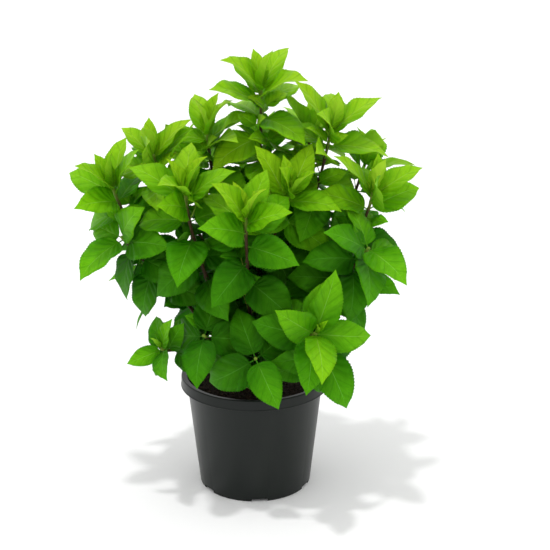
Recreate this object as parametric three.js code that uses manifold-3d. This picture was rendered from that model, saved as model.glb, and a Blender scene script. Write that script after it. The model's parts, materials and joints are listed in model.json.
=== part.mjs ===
// A young panicle hydrangea, in leaf and before flowering, in its five-litre nursery pot.
// Millimetres, +Z up. The origin is the middle of the pot's flat underside, and -Y is the front.
//
// The plant is built the way it grows. A short woody stock stands in the potting mix. Boughs spread
// from it and end where they enter the leaves. From each bough's tip one mass of foliage goes on:
// a stem that forks into shoots, and each shoot carries its leaves in crossed pairs.

import * as THREE from "three";
import { mergeVertices } from "three/addons/utils/BufferGeometryUtils.js";
import Module from "manifold-3d";

const wasm = await Module();
wasm.setup();

const UP = new THREE.Vector3(0, 0, 1);
const FRONT = new THREE.Vector3(0, -1, 0);
const CLEAR = 0.3; // gap kept between pieces that touch on the real plant

// The pot: a thin-walled tapered pail with a deep turned-down rim and a notched foot. The rim has
// a lip, and a small ledge inside it.
const POT = {
  height: 176,
  footRadius: 86,
  bodyTopRadius: 105.5,
  rimRadius: 113,
  rimBand: 16,
  lip: 2.6,
  ledge: 1.4,
  wall: 1.8,
  floor: 6.8,
  sides: 32,
};
// Six shallow channels under the floor let water out at the foot.
const DRAIN = { count: 6, firstAngle: -85, width: 24, length: 26, height: 5, hole: 8, holeIn: 5 };
const MIX = { belowRim: 21, dome: 3, flatRadius: 40, sides: 24 };
const STOCK = {
  footRadius: 27,
  shoulderRadius: 23,
  topRadius: 17,
  height: 20,
  shoulderShare: 0.6,
  boughShare: 0.55,
  sides: 12,
};

// Boughs and shoots. straightShare and bendShare say how far a shoot runs straight at its foot and
// at its bud, as shares of its reach. leadBare and sideBare are the shares with no leaves.
const LIMB = {
  boughFootRadius: 3.9,
  boughTipRadius: 3,
  shootFootRadius: 2.4,
  budRadius: 2,
  boughSides: 6,
  boughSteps: 3,
  shootSides: 4,
  leadSteps: 4,
  sideSteps: 3,
  straightShare: 0.33,
  bendShare: 0.3,
  leadBare: 0.08,
  sideBare: 0.15,
  mostPairs: 13,
};

// Leaves. Length is from the middle of the stem to the tip, and rootFrom is where a leaf's own
// root starts, sunk in the stem.
const LEAF = {
  length: 84,
  petioleShare: 0.12,
  petioleRadius: 0.9,
  rootRadius: 0.7,
  rootFrom: 0.9,
  thickness: 1.1,
};
// Where a leaf's cross-sections stand along it, and how wide each is as a share of the widest
const STATIONS = [
  { at: 0, half: 0 },
  { at: LEAF.petioleShare, half: 0 },
  { at: 0.32, half: 0.93 },
  { at: 0.66, half: 0.8 },
  { at: 1, half: 0 },
];
// How a shoot's pairs change from the bud down to the seventh and the rest: the spacing along the
// shoot, the size, the width as a share of the length, the angle off the shoot, the bend from
// petiole to tip, and how far the blade turns to the sky.
const PAIR = {
  spacing: [3, 3, 7, 12, 19, 27, 32],
  size: [0.7, 1.02, 1.06, 1.04, 1.02, 1, 0.98],
  width: [0.42, 0.46, 0.5, 0.55, 0.6, 0.64, 0.66],
  spread: [16, 33, 50, 66, 80, 94, 108],
  recurve: [12, 20, 26, 32, 38, 46, 52],
  turnToSky: [0.45, 0.85, 1, 1, 1, 1, 1.1],
};
// What a leaf may differ by, either way
const VARY = { size: 0.08, spread: 10, around: 13, recurve: 10, roll: 12 };

// Blades turn to the open side of the crown. The open side lies away from this middle, and it is
// nearer to the front and the back than to the left and the right.
const CROWN = { middle: new THREE.Vector3(0, 70, 300), nearness: new THREE.Vector3(1, 5, 1) };

// A leaf that would touch another is moved a little, in these ways in turn, or left out: more or
// less spread, more around the stem, and a smaller size.
const TRIES = [
  { spread: 0, around: 0, size: 1 },
  { spread: -11, around: 0, size: 1 },
  { spread: 11, around: 0, size: 1 },
  { spread: 0, around: 15, size: 1 },
  { spread: 0, around: -15, size: 1 },
  { spread: -18, around: 12, size: 0.92 },
  { spread: 18, around: -12, size: 0.92 },
  { spread: -8, around: -24, size: 0.86 },
  { spread: 10, around: 24, size: 0.86 },
];
// Room left round a leaf and round the pot, and the share of a leaf next to its stem that may
// touch the roots of its own shoot's other leaves
const ROOM = { leaf: 0.8, potSide: 1.5, potTop: 2, bladeFrom: 0.18, step: 0.01 };

// The masses of foliage, each on one bough. A bough stands on the stock at its foot, out from the
// pot's axis, and ends at bareTop, where its leaves begin. The first shoot of a mass runs on from
// its bough, and the others fork from the first at a share of its length. bud is where a shoot's
// tip stands, lean how far it tilts there from upright, and turn which way its top pair faces. A
// shoot with an age has top leaves as spread as those that many pairs down, and size scales them.
const MASSES = [
  {
    name: "centre",
    foot: { out: 5, angle: 75 },
    bareTop: 262,
    shoots: [
      { bud: [11, 18, 608], lean: 1, turn: 50, size: 1.08 },
      { bud: [52, -50, 468], lean: 16, turn: 30, fork: 0.22 },
    ],
  },
  {
    name: "right_top",
    foot: { out: 5, angle: -45 },
    bareTop: 256,
    shoots: [
      { bud: [112, 0, 552], lean: 10, turn: 88 },
      { bud: [85, 78, 533], lean: 14, turn: 60, fork: 0.35 },
    ],
  },
  {
    name: "right",
    foot: { out: 15.5, angle: -8 },
    bareTop: 236,
    shoots: [
      { bud: [171, -38, 466], lean: 11, turn: 82 },
      { bud: [164, -80, 397], lean: 34, turn: 66, fork: 0.2, age: 3 },
    ],
  },
  {
    name: "front_right",
    foot: { out: 15.5, angle: -52 },
    bareTop: 206,
    shoots: [
      { bud: [88, -148, 293], lean: 70, turn: 54, age: 2 },
      { bud: [99, -118, 257], lean: 58, turn: 20, fork: 0.15, age: 4 },
    ],
  },
  {
    name: "front",
    foot: { out: 15.5, angle: -93 },
    bareTop: 226,
    shoots: [
      { bud: [-9, -122, 452], lean: 6, turn: 40 },
      { bud: [4, -140, 253], lean: 54, turn: 60, fork: 0.1, age: 4 },
    ],
  },
  {
    name: "front_left",
    foot: { out: 15.5, angle: -133 },
    bareTop: 228,
    shoots: [
      { bud: [-93, -92, 480], lean: 4, turn: 4 },
      { bud: [-70, -120, 280], lean: 50, turn: 122, fork: 0.1, age: 4 },
    ],
  },
  {
    name: "left",
    foot: { out: 15.5, angle: 178 },
    bareTop: 232,
    shoots: [
      { bud: [-202, -30, 474], lean: 16, turn: 30 },
      { bud: [-134, -86, 247], lean: 56, turn: 20, fork: 0.05, age: 2, size: 0.66 },
      { bud: [-191, -42, 403], lean: 38, turn: 60, fork: 0.25, age: 3 },
    ],
  },
  {
    name: "left_top",
    foot: { out: 5, angle: 195 },
    bareTop: 250,
    shoots: [
      { bud: [-68, 30, 542], lean: 4, turn: 330 },
      { bud: [-146, 5, 514], lean: 8, turn: 96, fork: 0.25 },
    ],
  },
  {
    name: "back_right",
    foot: { out: 15.5, angle: 40 },
    bareTop: 236,
    shoots: [
      { bud: [168, 80, 485], lean: 18, turn: 10 },
      { bud: [149, 48, 322], lean: 50, turn: 50, fork: 0.08 },
    ],
  },
  {
    name: "back",
    foot: { out: 15.5, angle: 86 },
    bareTop: 244,
    shoots: [
      { bud: [20, 122, 508], lean: 16, turn: 60 },
      { bud: [59, 146, 332], lean: 46, turn: 0, fork: 0.1 },
    ],
  },
  {
    name: "back_left",
    foot: { out: 15.5, angle: 131 },
    bareTop: 240,
    shoots: [
      { bud: [-102, 104, 487], lean: 16, turn: 20 },
      { bud: [-148, 72, 315], lean: 50, turn: 70, fork: 0.08 },
    ],
  },
];

const radians = THREE.MathUtils.degToRad;

// A repeatable row of numbers from -1 to 1, one row for each shoot
function numberRow(seed) {
  const range = 4294967296;
  let state = (seed * 7919 + 104729) % range;
  return () => {
    state = (state * 1664525 + 1013904223) % range;
    return (2 * state) / range - 1;
  };
}

// A closed solid from a three.js geometry, for joining and cutting
function solidOf(geometry) {
  const bare = geometry.clone();
  bare.deleteAttribute("normal");
  bare.deleteAttribute("uv");
  const merged = mergeVertices(bare, 1e-4);
  return new wasm.Manifold(
    new wasm.Mesh({
      numProp: 3,
      vertProperties: new Float32Array(merged.attributes.position.array),
      triVerts: new Uint32Array(merged.index.array),
    }),
  );
}

function geometryOf(solid) {
  const mesh = solid.getMesh();
  const geometry = new THREE.BufferGeometry();
  geometry.setAttribute("position", new THREE.BufferAttribute(mesh.vertProperties, 3));
  geometry.setIndex(new THREE.BufferAttribute(mesh.triVerts, 1));
  geometry.computeVertexNormals();
  return geometry;
}

// A profile of [radius, height] turned about the upright axis
function turned(profile, sides) {
  const points = profile.map(([radius, height]) => new THREE.Vector2(radius, height));
  return new THREE.LatheGeometry(points, sides).rotateX(Math.PI / 2);
}

// An upright box with its near end at the given distance from the axis, turned to an angle
function radialBox(from, length, width, low, high, angle) {
  return new THREE.BoxGeometry(length, width, high - low)
    .translate(from + length / 2, 0, (low + high) / 2)
    .rotateZ(radians(angle));
}

// The radius inside the pot's wall at the floor and at the ledge, and between them
const inside = {
  foot: POT.footRadius - POT.wall + 0.3,
  top: POT.bodyTopRadius - POT.wall,
  ledgeHeight: POT.height - POT.ledge,
};

function insideRadius(height) {
  const share = (height - POT.floor) / (inside.ledgeHeight - POT.floor);
  return inside.foot + (inside.top - inside.foot) * share;
}

function makePot() {
  const { height, footRadius, bodyTopRadius, rimRadius, rimBand, lip, wall, floor } = POT;
  const bandFoot = height - rimBand;
  const underRim = height - 2 * wall;
  const round = 0.8; // worn corner of the rim
  const footRound = 1.5;
  const shell = turned(
    [
      [0, 0],
      [footRadius - footRound, 0],
      [footRadius, footRound],
      [bodyTopRadius - round, underRim],
      [rimRadius - wall, underRim],
      [rimRadius - wall - 0.5, bandFoot],
      [rimRadius - round, bandFoot],
      [rimRadius, height - round],
      [rimRadius - round, height],
      [rimRadius - lip, height],
      [rimRadius - lip - 0.6, inside.ledgeHeight],
      [inside.top, inside.ledgeHeight],
      [inside.foot, floor],
      [0, floor],
    ],
    POT.sides,
  );
  let pot = solidOf(shell);
  const start = footRadius - DRAIN.length;
  const past = 6; // how far a channel's cutter runs out past the foot
  for (let i = 0; i < DRAIN.count; i += 1) {
    const angle = DRAIN.firstAngle + (360 / DRAIN.count) * i;
    const channel = radialBox(start, DRAIN.length + past, DRAIN.width, -1, DRAIN.height, angle);
    const hole = radialBox(start + DRAIN.holeIn, DRAIN.hole, DRAIN.hole, 1, floor + 1, angle);
    pot = pot.subtract(solidOf(channel)).subtract(solidOf(hole));
  }
  return geometryOf(pot);
}

// The potting mix fills the pot to a little below the rim, and stands slightly higher in the middle
const mixRimHeight = POT.height - MIX.belowRim;
const mixTop = mixRimHeight + MIX.dome;
const mixFoot = POT.floor + CLEAR;

function makeMix() {
  // The pot's walls are flat between corners, so the mix keeps inside the flats
  const flats = Math.cos(Math.PI / POT.sides);
  const edge = insideRadius(mixRimHeight) * flats - CLEAR;
  const profile = [
    [0, mixFoot],
    [insideRadius(mixFoot) * flats - CLEAR, mixFoot],
    [edge, mixRimHeight],
    [(MIX.flatRadius + edge) / 2, mixRimHeight + 0.7 * MIX.dome],
    [MIX.flatRadius, mixTop],
    [0, mixTop],
  ];
  return turned(profile, MIX.sides);
}

// The stock: a low knuckle of old wood, flat underneath and flared at the foot. Grown by a gap and
// sunk a little, it is what the boughs' feet are cut back by.
function stockSolid(grown) {
  const sunk = grown > 0 ? 1 : 0;
  const profile = [
    [0, mixTop + CLEAR - sunk],
    [STOCK.footRadius + grown, mixTop + CLEAR - sunk],
    [STOCK.shoulderRadius + grown, mixTop + STOCK.shoulderShare * STOCK.height],
    [STOCK.topRadius + grown, mixTop + CLEAR + STOCK.height + grown],
    [0, mixTop + CLEAR + STOCK.height + grown],
  ];
  return solidOf(turned(profile, STOCK.sides));
}

// A point on a curve, with the directions along it and across it
function frameAt(curve, share) {
  const middle = curve.getPoint(share);
  const along = curve.getTangent(share);
  const side = new THREE.Vector3().crossVectors(along, FRONT).normalize();
  const front = new THREE.Vector3().crossVectors(side, along);
  return { middle, along, side, front };
}

// A round limb that follows a curve in straight steps and tapers from one radius to another
function limb({ curve, from, to, steps }, footRadius, tipRadius, sides, turn) {
  const geometry = new THREE.CylinderGeometry(1, 1, 1, sides, steps).rotateY(radians(turn));
  const place = geometry.attributes.position;
  for (let i = 0; i < place.count; i += 1) {
    const share = place.getY(i) + 0.5;
    const radius = footRadius + (tipRadius - footRadius) * share;
    const { middle, side, front } = frameAt(curve, from + (to - from) * share);
    middle.addScaledVector(side, place.getX(i) * radius);
    middle.addScaledVector(front, place.getZ(i) * radius);
    place.setXYZ(i, middle.x, middle.y, middle.z);
  }
  return solidOf(geometry);
}

// The middle of a limb at a share of its curve, on its straight steps
function onLimb({ curve, from, to, steps }, share) {
  const along = Math.min(0.9999, (share - from) / (to - from)) * steps;
  const step = Math.floor(along);
  const knot = (k) => curve.getPoint(from + ((to - from) * k) / steps);
  return knot(step).lerp(knot(step + 1), along - step);
}

// The curve of a shoot from its foot to its bud. It leaves the foot straight for the bud, and it
// comes to the bud leaning out from the pot's axis.
function shootCurve(shoot, foot) {
  const bud = new THREE.Vector3(...shoot.bud);
  const reach = bud.distanceTo(foot);
  const straight = bud.clone().sub(foot).normalize();
  const tilt = radians(shoot.lean);
  const atBud = new THREE.Vector3(bud.x, bud.y, 0).normalize().multiplyScalar(Math.sin(tilt));
  atBud.addScaledVector(UP, Math.cos(tilt));
  const early = foot.clone().addScaledVector(straight, LIMB.straightShare * reach);
  const late = bud.clone().addScaledVector(atBud, -LIMB.bendShare * reach);
  return new THREE.CubicBezierCurve3(foot, early, late, bud);
}

// The share of a curve at which it reaches a height, found by halving
function shareAtHeight(curve, height) {
  let low = 0;
  let high = 1;
  for (let i = 0; i < 30; i += 1) {
    const middle = (low + high) / 2;
    if (curve.getPoint(middle).z < height) low = middle;
    else high = middle;
  }
  return low;
}

// Where the pairs stand on a shoot, from the bud down, as shares of its curve
function pairShares(curve, lowest) {
  const total = curve.getLength();
  const shares = [];
  let down = 0;
  for (let pair = 0; pair < LIMB.mostPairs; pair += 1) {
    down += PAIR.spacing[Math.min(pair, PAIR.spacing.length - 1)];
    const share = down < total ? curve.getUtoTmapping(1 - down / total) : 0;
    if (share <= lowest) break;
    shares.push(share);
  }
  return shares;
}

// A leaf as it grows, before it is moved for want of room. Pairs stand crossed on the shoot, and
// the two leaves of a pair, its hands, stand opposite.
function growLeaf(plan, pair, hand) {
  const { draw, shares, shoot } = plan;
  const { age = 0, size = 1 } = shoot;
  const k = Math.min(pair + age, PAIR.spacing.length - 1);
  return {
    ...frameAt(plan.curve, shares[pair]),
    middle: onLimb(plan, shares[pair]),
    around: shoot.turn + 90 * pair + 180 * hand + VARY.around * draw(),
    spread: PAIR.spread[k] + VARY.spread * draw(),
    length: LEAF.length * size * PAIR.size[k] * (1 + VARY.size * draw()),
    recurve: radians(PAIR.recurve[k] + VARY.recurve * draw()),
    roll: radians(VARY.roll * draw()),
    width: PAIR.width[k],
    turnToSky: PAIR.turnToSky[k],
  };
}

// A leaf's directions: heading along the midrib, facing out of its upper side, and across
function leafFrame(leaf, change) {
  const spread = radians(leaf.spread + change.spread);
  const around = radians(leaf.around + change.around);
  const outward = leaf.side.clone().multiplyScalar(Math.cos(around));
  outward.addScaledVector(leaf.front, Math.sin(around));
  const heading = outward.clone().multiplyScalar(Math.sin(spread));
  heading.addScaledVector(leaf.along, Math.cos(spread));
  const open = leaf.middle.clone().addScaledVector(heading, leaf.length / 2);
  open.sub(CROWN.middle).multiply(CROWN.nearness);
  open.addScaledVector(heading, -open.dot(heading)).normalize();
  const facing = leaf.along.clone().multiplyScalar(Math.sin(spread));
  facing.addScaledVector(outward, -Math.cos(spread));
  facing.addScaledVector(open, leaf.turnToSky);
  facing.addScaledVector(heading, -facing.dot(heading)).normalize();
  facing.applyAxisAngle(heading, leaf.roll);
  const across = new THREE.Vector3().crossVectors(facing, heading);
  return { heading, facing, across };
}

// A leaf's solid: a rod bent along the midrib, with its blade widened. Three sides make the leaf
// itself, flat on top with a keel under. Four sides, grown by a gap, make the room it needs.
function leafSolid(leaf, change, sides, grown, from) {
  const { heading, facing, across } = leafFrame(leaf, change);
  const spans = STATIONS.length - 1;
  const geometry = new THREE.CylinderGeometry(0, 1, 1, sides, spans);
  const place = geometry.attributes.position;
  const length = leaf.length * change.size;
  for (let i = 0; i < place.count; i += 1) {
    const station = Math.round((place.getY(i) + 0.5) * spans);
    const { half } = STATIONS[station];
    const root = Math.max(LEAF.rootFrom / length, from + ROOM.step * station);
    const at = Math.max(STATIONS[station].at, root);
    const bend = leaf.recurve * Math.max(0, at - LEAF.petioleShare);
    const above = facing.clone().multiplyScalar(Math.cos(bend));
    above.addScaledVector(heading, Math.sin(bend));
    // The midrib is an arc, so the line from its foot to here has half the bend
    const point = leaf.middle.clone();
    point.addScaledVector(heading, length * at * Math.cos(bend / 2));
    point.addScaledVector(facing, -length * at * Math.sin(bend / 2));
    // The rod is a cone, so its corners are first brought back to a circle of radius 1
    const cone = Math.hypot(place.getX(i), place.getZ(i));
    const right = cone > 0 ? place.getX(i) / cone : 0;
    const down = cone > 0 ? place.getZ(i) / cone : 0;
    const isSide = Math.abs(right) > 0.1;
    if (station === spans) {
      point.addScaledVector(new THREE.Vector3().crossVectors(across, above), grown);
    } else if (half > 0 && isSide) {
      const reach = (half * length * leaf.width) / 2 + grown;
      point.addScaledVector(across, Math.sign(right) * reach);
    } else if (half > 0) {
      point.addScaledVector(above, down > 0 ? -LEAF.thickness - grown : grown);
    } else {
      const radius = (station === 0 ? LEAF.rootRadius : LEAF.petioleRadius) + grown;
      point.addScaledVector(across, right * radius);
      point.addScaledVector(above, -down * radius);
    }
    place.setXYZ(i, point.x, point.y, point.z);
  }
  return solidOf(geometry);
}

// Colours and roughness of the four finishes
const FINISH = {
  pot: { color: 0x2c2f2f, roughness: 0.5, metalness: 0 },
  mix: { color: 0x2c1f14, roughness: 1, metalness: 0 },
  bark: { color: 0x5b3a24, roughness: 0.85, metalness: 0 },
  leaf: { color: 0x4f8f16, roughness: 0.5, metalness: 0 },
};

const group = new THREE.Group();
group.name = "panicle_hydrangea_in_pot";

function addPiece(name, geometry, finish) {
  const mesh = new THREE.Mesh(geometry, new THREE.MeshStandardMaterial(finish));
  mesh.name = name;
  group.add(mesh);
}

addPiece("pot", makePot(), FINISH.pot);
addPiece("potting_mix", makeMix(), FINISH.mix);
addPiece("stock", geometryOf(stockSolid(0)), FINISH.bark);

// Boughs and stems come first, so that leaves can keep off them. A plan is one shoot: its stem, the
// places of its pairs, its row of numbers and, later, its leaves.
const stockGrown = stockSolid(CLEAR);
const plans = [];
MASSES.forEach((mass, number) => {
  const footAngle = radians(mass.foot.angle);
  const foot = new THREE.Vector3(
    mass.foot.out * Math.cos(footAngle),
    mass.foot.out * Math.sin(footAngle),
    mixTop + STOCK.boughShare * STOCK.height,
  );
  const curve = shootCurve(mass.shoots[0], foot);
  const bareShare = shareAtHeight(curve, mass.bareTop);
  const { boughFootRadius, boughTipRadius, boughSides, shootFootRadius, budRadius } = LIMB;
  const whole = { curve, from: 0, to: bareShare, steps: LIMB.boughSteps };
  mass.bough = limb(whole, boughFootRadius, boughTipRadius, boughSides, 0).subtract(stockGrown);
  addPiece("bough_" + mass.name, geometryOf(mass.bough), FINISH.bark);

  const start = bareShare + CLEAR / curve.getLength();
  const lead = { curve, from: start, to: 1, steps: LIMB.leadSteps };
  mass.shoots.forEach((shoot, index) => {
    const isLead = index === 0;
    let way = lead;
    if (!isLead) {
      const fork = onLimb(lead, start + (1 - start) * shoot.fork);
      way = { curve: shootCurve(shoot, fork), from: 0, to: 1, steps: LIMB.sideSteps };
    }
    const footRadius = isLead ? boughTipRadius : shootFootRadius;
    plans.push({
      ...way,
      mass,
      shoot,
      stem: limb(way, footRadius, budRadius, LIMB.shootSides, shoot.turn + 45),
      shares: pairShares(way.curve, isLead ? start + LIMB.leadBare : LIMB.sideBare),
      draw: numberRow(number * 10 + index),
      leaves: [],
    });
  });
});

function boxesMeet(a, b) {
  return [0, 1, 2].every((axis) => a.min[axis] <= b.max[axis] && b.min[axis] <= a.max[axis]);
}

const potSpace = turned(
  [
    [0, 0],
    [POT.rimRadius + ROOM.potSide, 0],
    [POT.rimRadius + ROOM.potSide, POT.height + ROOM.potTop],
    [0, POT.height + ROOM.potTop],
  ],
  24,
);

// Everything a leaf must keep off, with the shoot it belongs to
const inTheWay = [];
function keepOff(solid, plan) {
  inTheWay.push({ solid, plan, box: solid.boundingBox() });
}
keepOff(solidOf(potSpace), null);
plans.forEach((plan) => keepOff(plan.stem, plan));
MASSES.forEach((mass) => keepOff(mass.bough, null));

// A leaf has room if it is clear of the pot, the boughs and the other shoots, and its blade is also
// clear of its own shoot's other leaves.
function hasRoom(leaf, change, plan) {
  const whole = leafSolid(leaf, change, 4, ROOM.leaf, 0);
  const blade = leafSolid(leaf, change, 4, ROOM.leaf, ROOM.bladeFrom);
  const box = whole.boundingBox();
  return !inTheWay.some((thing) => {
    if (thing.solid === plan.stem || !boxesMeet(box, thing.box)) return false;
    const test = thing.plan === plan ? blade : whole;
    return !test.intersect(thing.solid).isEmpty();
  });
}

// Leaves, from the buds down on all shoots at once, so that the top pairs have room first
const mostPairs = Math.max(...plans.map((plan) => plan.shares.length));
for (let pair = 0; pair < mostPairs; pair += 1) {
  plans.forEach((plan) => {
    if (pair >= plan.shares.length) return;
    for (let hand = 0; hand < 2; hand += 1) {
      const leaf = growLeaf(plan, pair, hand);
      const change = TRIES.find((option) => hasRoom(leaf, option, plan));
      if (change) {
        const solid = leafSolid(leaf, change, 3, 0, 0);
        keepOff(solid, plan);
        plan.leaves.push(solid);
      }
    }
  });
}

// Each mass of foliage is its stems and leaves joined to one body
MASSES.forEach((mass) => {
  const own = plans.filter((plan) => plan.mass === mass);
  const parts = own.flatMap((plan) => [plan.stem, ...plan.leaves]);
  addPiece("foliage_" + mass.name, geometryOf(wasm.Manifold.union(parts)), FINISH.leaf);
});

export default group;
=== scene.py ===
# A young panicle hydrangea in leaf, in its five-litre nursery pot, finished for the camera.
# Metres and +Z up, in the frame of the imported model, with -Y to the front.

import json
import math
from dataclasses import dataclass
from functools import cache

import bmesh
import bpy
import numpy as np
from mathutils import Matrix, Vector, noise
from mathutils.bvhtree import BVHTree

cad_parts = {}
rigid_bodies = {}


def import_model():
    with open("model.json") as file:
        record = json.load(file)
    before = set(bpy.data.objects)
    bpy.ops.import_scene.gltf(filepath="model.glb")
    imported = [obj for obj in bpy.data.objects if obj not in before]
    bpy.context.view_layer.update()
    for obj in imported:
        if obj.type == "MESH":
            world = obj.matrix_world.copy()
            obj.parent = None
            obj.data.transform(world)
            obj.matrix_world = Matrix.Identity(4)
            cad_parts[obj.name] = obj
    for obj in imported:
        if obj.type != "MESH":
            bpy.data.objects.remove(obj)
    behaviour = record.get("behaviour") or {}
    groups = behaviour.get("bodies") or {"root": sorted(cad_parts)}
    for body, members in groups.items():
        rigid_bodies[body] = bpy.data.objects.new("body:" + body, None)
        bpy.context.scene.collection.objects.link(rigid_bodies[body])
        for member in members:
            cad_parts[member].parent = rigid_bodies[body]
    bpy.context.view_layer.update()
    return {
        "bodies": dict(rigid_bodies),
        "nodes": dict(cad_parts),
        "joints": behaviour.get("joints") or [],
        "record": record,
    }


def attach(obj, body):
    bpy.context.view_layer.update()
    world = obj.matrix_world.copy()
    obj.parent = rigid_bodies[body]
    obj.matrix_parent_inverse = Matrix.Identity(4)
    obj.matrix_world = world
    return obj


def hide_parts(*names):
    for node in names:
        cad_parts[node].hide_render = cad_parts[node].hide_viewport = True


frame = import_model()

# The pot
# An injection-moulded pail of black recycled plastic, with a turned-down rim band and a small
# ledge inside its lip. Six shallow drainage channels run under the floor and show as notches at
# the foot. Its skin is satin, with a fine grain and a little dust.

MM = 0.001
POT_TURNS = 192
POT_PROFILE = [  # radius and height in mm, from the middle of the underside round to the floor
    (0.0, 0.0), (84.6, 0.0), (86.0, 1.5), (104.7, 172.4), (111.2, 172.4), (110.8, 161.2),
    (111.0, 159.6), (112.6, 159.4), (113.3, 160.1), (113.3, 160.9), (112.5, 162.1), (112.5, 173.6),
    (112.3, 174.8), (111.6, 175.7), (110.6, 176.0), (109.6, 174.6), (103.7, 174.6), (84.5, 6.8),
    (0.0, 6.8),
]
POT_FOOT_RADIUS = 86.0
DRAIN_COUNT = 6
DRAIN_FIRST = -85.0  # degrees round from the plant's right
DRAIN_WIDTH = 24.0
DRAIN_LENGTH = 26.0
DRAIN_HEIGHT = 5.0
DRAIN_PAST_FOOT = 6.0  # how far the cutting boxes run out past the foot
POT_EDGE_ROUND = 0.35
POT_SHARP_ANGLE = 25.0  # edges sharper than this are rounded
POT_SMOOTH_ANGLE = 35.0  # edges flatter than this are shaded smooth


class Value:
    """A number, colour or vector that changes over a surface, with arithmetic on numbers."""

    def __init__(self, finish, socket):
        self.finish = finish
        self.socket = socket

    def math(self, operation, first, second):
        return self.finish.node("ShaderNodeMath", {"operation": operation}, {0: first, 1: second})

    def __add__(self, other):
        return self.math("ADD", self, other)

    def __mul__(self, other):
        return self.math("MULTIPLY", self, other)

    def __rsub__(self, other):
        return self.math("SUBTRACT", other, self)

    __radd__ = __add__
    __rmul__ = __mul__


class Finish:
    """A material on one Principled shader, with one method that adds any node."""

    def __init__(self, name, **constants):
        self.material = bpy.data.materials.new(name)
        self.material.use_nodes = True
        self.tree = self.material.node_tree
        self.shader = self.tree.nodes["Principled BSDF"]
        for socket, value in constants.items():
            self.set(socket.replace("_", " "), value)

    def plug(self, socket, value):
        if isinstance(value, Value):
            self.tree.links.new(value.socket, socket)
        else:
            socket.default_value = value

    def set(self, socket, value):
        self.plug(self.shader.inputs[socket], value)

    def node(self, kind, settings, inputs, output=0):
        made = self.tree.nodes.new(kind)
        for key, value in settings.items():
            setattr(made, key, value)
        for key, value in inputs.items():
            self.plug(made.inputs[key], value)
        return Value(self, made.outputs[output])

    def place(self):
        """The place on the object itself."""
        return self.node("ShaderNodeTexCoord", {}, {}, "Object")

    def grain(self, scale, detail=3.0, roughness=0.55, at=None):
        """Cloudy noise from 0 to 1, scale to the metre."""
        inputs = {"Vector": at or self.place(), "Scale": scale, "Detail": detail, "Roughness": roughness}
        return self.node("ShaderNodeTexNoise", {}, inputs)

    def stretch(self, sizes, at=None):
        return self.node("ShaderNodeMapping", {}, {"Vector": at or self.place(), "Scale": sizes})

    def between(self, value, low, high):
        """0 below low, 1 above high, and smooth between."""
        inputs = {"Value": value, "From Min": low, "From Max": high}
        return self.node("ShaderNodeMapRange", {"interpolation_type": "SMOOTHSTEP"}, inputs)

    def blend(self, share, first, second):
        """The first colour where share is 0 and the second where it is 1."""
        settings = {"data_type": "RGBA", "clamp_factor": True}
        return self.node("ShaderNodeMix", settings, {0: share, 6: first, 7: second}, 2)

    def relief(self, height, depth, strength=1.0):
        inputs = {"Height": height, "Distance": depth, "Strength": strength}
        self.set("Normal", self.node("ShaderNodeBump", {}, inputs))


def shade(red, green, blue):
    """A colour given in the 0 to 255 of a screen, as the shader's own linear one."""
    screen = np.array([red, green, blue]) / 255
    linear = np.where(screen > 0.04045, ((screen + 0.055) / 1.055) ** 2.4, screen / 12.92)
    return (*(float(x) for x in linear), 1.0)


def put(name, data):
    """Puts a new object with this mesh, lamp or camera in the scene."""
    made = bpy.data.objects.new(name, data)
    bpy.context.scene.collection.objects.link(made)
    return made


def add_piece(name, mesh, materials, nodes):
    """Puts a finished mesh in the scene as a piece of the plant's one body."""
    piece = put(name, mesh)
    for material in materials:
        mesh.materials.append(material)
    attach(piece, "root")
    if nodes:
        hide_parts(*nodes)


def mesh_of(form, name, smooth=True):
    """Turns a bmesh into a mesh and frees it."""
    for face in form.faces:
        face.smooth = smooth
    mesh = bpy.data.meshes.new(name)
    form.to_mesh(mesh)
    form.free()
    return mesh


def turned(profile, turns):
    """A closed bmesh from a profile of (radius, height) in mm, spun about the upright axis."""
    form = bmesh.new()
    corners = [form.verts.new((radius * MM, 0, height * MM)) for radius, height in profile]
    edges = [form.edges.new(pair) for pair in zip(corners, corners[1:])]
    whole_turn = {"cent": (0, 0, 0), "axis": (0, 0, 1), "angle": math.tau}
    bmesh.ops.spin(form, geom=corners + edges, steps=turns, use_merge=True, **whole_turn)
    bmesh.ops.remove_doubles(form, verts=form.verts, dist=1e-6)
    bmesh.ops.recalc_face_normals(form, faces=form.faces)
    return form


pot_form = turned(POT_PROFILE, POT_TURNS)
sharp = math.radians(POT_SHARP_ANGLE)
sharp_edges = [edge for edge in pot_form.edges if edge.is_manifold and edge.calc_face_angle() > sharp]
rounding = {"affect": "EDGES", "segments": 2, "profile": 0.5, "material": -1, "clamp_overlap": True}
bmesh.ops.bevel(pot_form, geom=sharp_edges, offset=POT_EDGE_ROUND * MM, **rounding)
pot_mesh = mesh_of(pot_form, "pot_shell")

# The channels are cut by boxes that lie under the floor and run out past the foot
cutter_form = bmesh.new()
box_size = Vector((DRAIN_LENGTH + DRAIN_PAST_FOOT, DRAIN_WIDTH, 2 * DRAIN_HEIGHT)) * MM
box_out = (POT_FOOT_RADIUS - (DRAIN_LENGTH - DRAIN_PAST_FOOT) / 2) * MM
for number in range(DRAIN_COUNT):
    box = bmesh.ops.create_cube(cutter_form, size=1.0)["verts"]
    turn = Matrix.Rotation(math.radians(DRAIN_FIRST + 360 / DRAIN_COUNT * number), 3, "Z")
    bmesh.ops.scale(cutter_form, vec=box_size, verts=box)
    bmesh.ops.translate(cutter_form, vec=(box_out, 0, 0), verts=box)
    bmesh.ops.rotate(cutter_form, cent=(0, 0, 0), matrix=turn, verts=box)
cutter = put("channel_cutter", mesh_of(cutter_form, "channel_cutter", False))
whole_pot = put("pot_before_cutting", pot_mesh)
cut = whole_pot.modifiers.new("channels", "BOOLEAN")
cut.operation = "DIFFERENCE"
cut.solver = "EXACT"
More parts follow.
